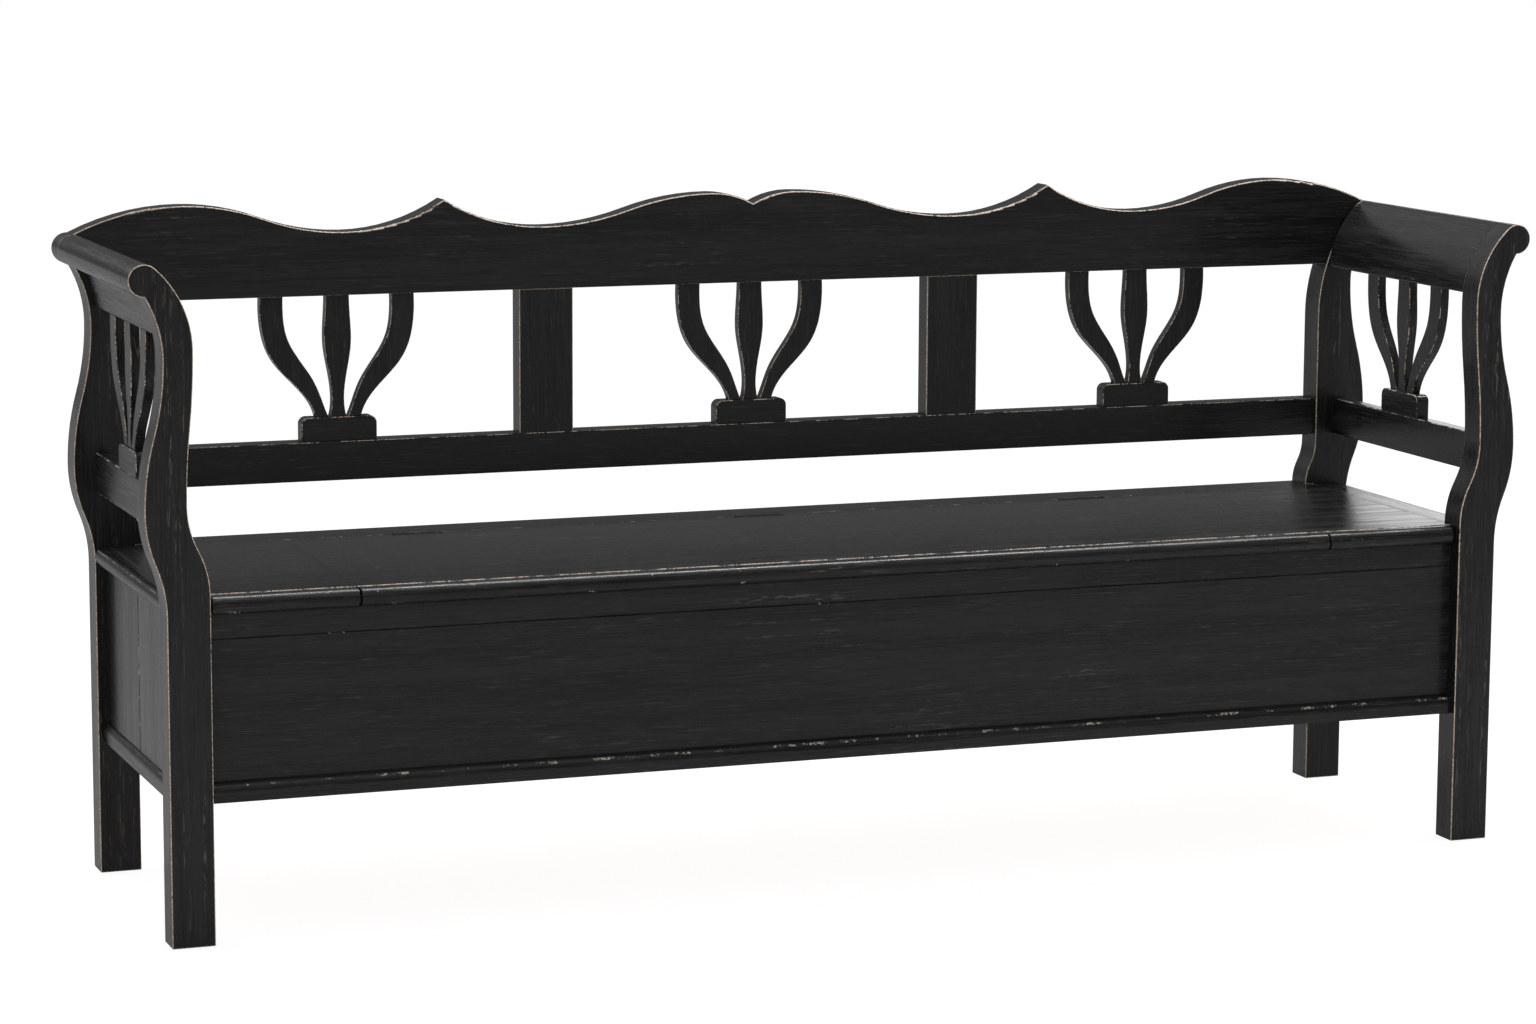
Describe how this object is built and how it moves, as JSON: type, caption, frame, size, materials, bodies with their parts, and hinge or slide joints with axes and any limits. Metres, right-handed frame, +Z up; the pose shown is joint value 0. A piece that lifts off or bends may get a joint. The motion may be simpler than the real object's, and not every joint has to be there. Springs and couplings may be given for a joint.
{
  "type": "storage settle bench",
  "caption": "Painted wooden settle with scrolled S-shaped posts, a scalloped back with tulip slats, and a hinged seat lid over a storage box.",
  "frame": {"origin": "on the floor, under the middle of the bench: the centre of the bottom of the bounding box", "axes": "+Z up, the sitter faces -Y, and the bench's length runs along X with +X at the viewer's right from the front"},
  "size_m": [1.97, 0.484, 0.903],
  "materials": {
    "black_paint": "softwood under satin charcoal-black brushed paint, rubbed through to tan wood along the arrises",
    "bare_pine": "planed, unpainted softwood",
    "hinge_steel": "dull plated steel"
  },
  "bodies": {
    "frame": {"back_panel": "black_paint", "box_floor": "bare_pine", "crest_rail": "black_paint", "floor_cleats": "bare_pine", "front_board_lower": "black_paint", "front_board_upper": "black_paint", "front_moulding": "black_paint", "hinge_frame_leaves": "hinge_steel", "hinge_frame_screws": "hinge_steel", "hinge_pins": "hinge_steel", "hinge_strip": "black_paint", "left_arm_block": "black_paint", "left_arm_board": "black_paint", "left_arm_rail": "black_paint", "left_arm_slat_centre": "black_paint", "left_arm_slat_front": "black_paint", "left_arm_slat_rear": "black_paint", "left_back_block": "black_paint", "left_back_slat_centre": "black_paint", "left_back_slat_left": "black_paint", "left_back_slat_right": "black_paint", "left_end_nosing": "black_paint", "left_front_post": "black_paint", "left_mid_stile": "black_paint", "left_rear_post": "black_paint", "left_seat_end": "black_paint", "left_side_moulding": "black_paint", "left_side_plank_front": "black_paint", "left_side_plank_rear": "black_paint", "left_side_strip": "black_paint", "lower_back_rail": "black_paint", "middle_back_block": "black_paint", "middle_back_slat_centre": "black_paint", "middle_back_slat_left": "black_paint", "middle_back_slat_right": "black_paint", "right_arm_block": "black_paint", "right_arm_board": "black_paint", "right_arm_rail": "black_paint", "right_arm_slat_centre": "black_paint", "right_arm_slat_front": "black_paint", "right_arm_slat_rear": "black_paint", "right_back_block": "black_paint", "right_back_slat_centre": "black_paint", "right_back_slat_left": "black_paint", "right_back_slat_right": "black_paint", "right_end_nosing": "black_paint", "right_front_post": "black_paint", "right_mid_stile": "black_paint", "right_rear_post": "black_paint", "right_seat_end": "black_paint", "right_side_moulding": "black_paint", "right_side_plank_front": "black_paint", "right_side_plank_rear": "black_paint", "right_side_strip": "black_paint"},
    "lid": {"lid_board": "black_paint", "lid_nosing": "black_paint", "lid_battens": "bare_pine", "batten_screws": "hinge_steel", "hinge_lid_leaves": "hinge_steel", "hinge_lid_screws": "hinge_steel"}
  },
  "joints": [
    {"name": "lid_hinge", "type": "hinge", "parent": "frame", "child": "lid", "pos_m": [0, 0.1775, 0.4475], "axis": [-1, 0, 0], "range_deg": [0, 93.5]}
  ]
}
